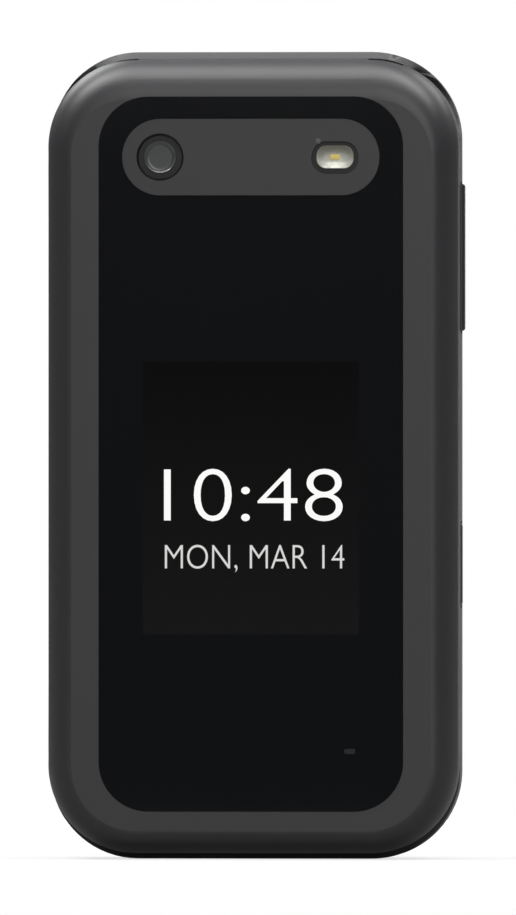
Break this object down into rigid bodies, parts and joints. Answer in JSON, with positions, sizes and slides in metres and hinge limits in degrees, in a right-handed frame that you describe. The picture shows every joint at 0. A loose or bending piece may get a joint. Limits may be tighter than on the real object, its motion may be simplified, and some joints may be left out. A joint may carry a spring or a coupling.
{
  "type": "flip phone",
  "caption": "Clamshell mobile phone, shut, with a glossy cover display and camera on the lid, a friction hinge, a numbered keypad, side keys and a removable back cover.",
  "frame": {"origin": "centre of the lower end, where the shut phone stands", "axes": "+Z along the phone to its hinge end, -Y out of the lid's window, +X to the side with the volume keys"},
  "size_m": [0.0555, 0.0188, 0.108],
  "materials": {
    "housing": "soft matte dark grey plastic",
    "inner_housing": "satin black plastic",
    "chassis": "black plastic",
    "window": "polished black window",
    "camera_trim": "fine matte dark grey",
    "lens": "coated camera glass",
    "flash": "clear lens over a yellowish light",
    "led": "light emitter",
    "display": "display module",
    "module": "moulded black component",
    "board": "green circuit board",
    "screw": "dark steel",
    "metal": "thin steel",
    "rubber": "soft rubber",
    "flex": "amber flexible circuit",
    "battery": "wrapped cell",
    "key": "satin black key with a pale legend",
    "nav": "satin grey ring"
  },
  "bodies": {
    "base": {"antenna": "chassis", "base_flex_cable": "flex", "base_screws": "screw", "battery": "battery", "battery_contacts": "module", "dome_sheet": "metal", "front_housing": "housing", "headphone_jack": "module", "hinge_shafts": "metal", "key_mat": "rubber", "loudspeaker": "module", "main_board": "board", "microphone": "metal", "rear_chassis": "chassis", "shield_cans": "metal", "side_switches": "module", "sim_and_card_holder": "metal", "usb_port": "metal", "vibration_motor": "metal"},
    "lid": {"lid_shell": "housing", "lid_window": "window", "camera_plate": "camera_trim", "camera_ring": "camera_trim", "camera_lens": "lens", "camera_module": "module", "flash_lens": "flash", "flash_led": "led", "cover_display": "display", "lid_inner_frame": "inner_housing", "inner_window": "window", "main_display": "display", "earpiece_mesh": "metal", "receiver": "module", "lid_circuit_board": "board", "lid_screws": "screw", "lid_bumpers": "rubber", "hinge_barrel": "metal", "lid_flex_cable": "flex"},
    "back_cover": {"back_cover": "housing"},
    "volume_rocker": {"volume_rocker": "housing"},
    "emergency_key": {"emergency_key": "housing"},
    "nav_ring": {"nav_ring": "nav"},
    "ok_key": {"ok_key": "key"},
    "call_key": {"call_key": "key"},
    "clear_key": {"clear_key": "key"},
    "end_key": {"end_key": "key"},
    "key_0": {"key_0": "key"},
    "key_1": {"key_1": "key"},
    "key_2": {"key_2": "key"},
    "key_3": {"key_3": "key"},
    "key_4": {"key_4": "key"},
    "key_5": {"key_5": "key"},
    "key_6": {"key_6": "key"},
    "key_7": {"key_7": "key"},
    "key_8": {"key_8": "key"},
    "key_9": {"key_9": "key"},
    "key_hash": {"key_hash": "key"},
    "key_star": {"key_star": "key"},
    "soft_key_left": {"soft_key_left": "key"},
    "soft_key_right": {"soft_key_right": "key"}
  },
  "joints": [
    {"name": "flip_hinge", "type": "hinge", "parent": "base", "child": "lid", "pos_m": [0, -0.00385, 0.1014], "axis": [-1, 0, 0], "range_deg": [0, 150]},
    {"name": "back_cover_lift", "type": "slide", "parent": "base", "child": "back_cover", "axis": [0, 1, 0], "range_m": [0, 0.025]},
    {"name": "volume_rocker_rock", "type": "hinge", "parent": "base", "child": "volume_rocker", "pos_m": [0.0262, 0.00205, 0.0805], "axis": [0, 1, 0], "range_deg": [-1.5, 1.5], "stiffness_Nm_per_rad": 0.4},
    {"name": "emergency_key_press", "type": "slide", "parent": "base", "child": "emergency_key", "axis": [-1, 0, 0], "range_m": [0, 0.0003], "stiffness_N_per_m": 700},
    {"name": "call_key_press", "type": "slide", "parent": "base", "child": "call_key", "axis": [0, 1, 0], "range_m": [0, 0.0003], "stiffness_N_per_m": 600},
    {"name": "clear_key_press", "type": "slide", "parent": "base", "child": "clear_key", "axis": [0, 1, 0], "range_m": [0, 0.0003], "stiffness_N_per_m": 600},
    {"name": "end_key_press", "type": "slide", "parent": "base", "child": "end_key", "axis": [0, 1, 0], "range_m": [0, 0.0003], "stiffness_N_per_m": 600},
    {"name": "key_0_press", "type": "slide", "parent": "base", "child": "key_0", "axis": [0, 1, 0], "range_m": [0, 0.0003], "stiffness_N_per_m": 600},
    {"name": "key_1_press", "type": "slide", "parent": "base", "child": "key_1", "axis": [0, 1, 0], "range_m": [0, 0.0003], "stiffness_N_per_m": 600},
    {"name": "key_2_press", "type": "slide", "parent": "base", "child": "key_2", "axis": [0, 1, 0], "range_m": [0, 0.0003], "stiffness_N_per_m": 600},
    {"name": "key_3_press", "type": "slide", "parent": "base", "child": "key_3", "axis": [0, 1, 0], "range_m": [0, 0.0003], "stiffness_N_per_m": 600},
    {"name": "key_4_press", "type": "slide", "parent": "base", "child": "key_4", "axis": [0, 1, 0], "range_m": [0, 0.0003], "stiffness_N_per_m": 600},
    {"name": "key_5_press", "type": "slide", "parent": "base", "child": "key_5", "axis": [0, 1, 0], "range_m": [0, 0.0003], "stiffness_N_per_m": 600},
    {"name": "key_6_press", "type": "slide", "parent": "base", "child": "key_6", "axis": [0, 1, 0], "range_m": [0, 0.0003], "stiffness_N_per_m": 600},
    {"name": "key_7_press", "type": "slide", "parent": "base", "child": "key_7", "axis": [0, 1, 0], "range_m": [0, 0.0003], "stiffness_N_per_m": 600},
    {"name": "key_8_press", "type": "slide", "parent": "base", "child": "key_8", "axis": [0, 1, 0], "range_m": [0, 0.0003], "stiffness_N_per_m": 600},
    {"name": "key_9_press", "type": "slide", "parent": "base", "child": "key_9", "axis": [0, 1, 0], "range_m": [0, 0.0003], "stiffness_N_per_m": 600},
    {"name": "key_hash_press", "type": "slide", "parent": "base", "child": "key_hash", "axis": [0, 1, 0], "range_m": [0, 0.0003], "stiffness_N_per_m": 600},
    {"name": "key_star_press", "type": "slide", "parent": "base", "child": "key_star", "axis": [0, 1, 0], "range_m": [0, 0.0003], "stiffness_N_per_m": 600},
    {"name": "soft_key_left_press", "type": "slide", "parent": "base", "child": "soft_key_left", "axis": [0, 1, 0], "range_m": [0, 0.0003], "stiffness_N_per_m": 600},
    {"name": "soft_key_right_press", "type": "slide", "parent": "base", "child": "soft_key_right", "axis": [0, 1, 0], "range_m": [0, 0.0003], "stiffness_N_per_m": 600},
    {"name": "nav_ring_press", "type": "slide", "parent": "base", "child": "nav_ring", "axis": [0, 1, 0], "range_m": [0, 0.0003], "stiffness_N_per_m": 600},
    {"name": "ok_key_press", "type": "slide", "parent": "base", "child": "ok_key", "axis": [0, 1, 0], "range_m": [0, 0.0003], "stiffness_N_per_m": 600}
  ]
}
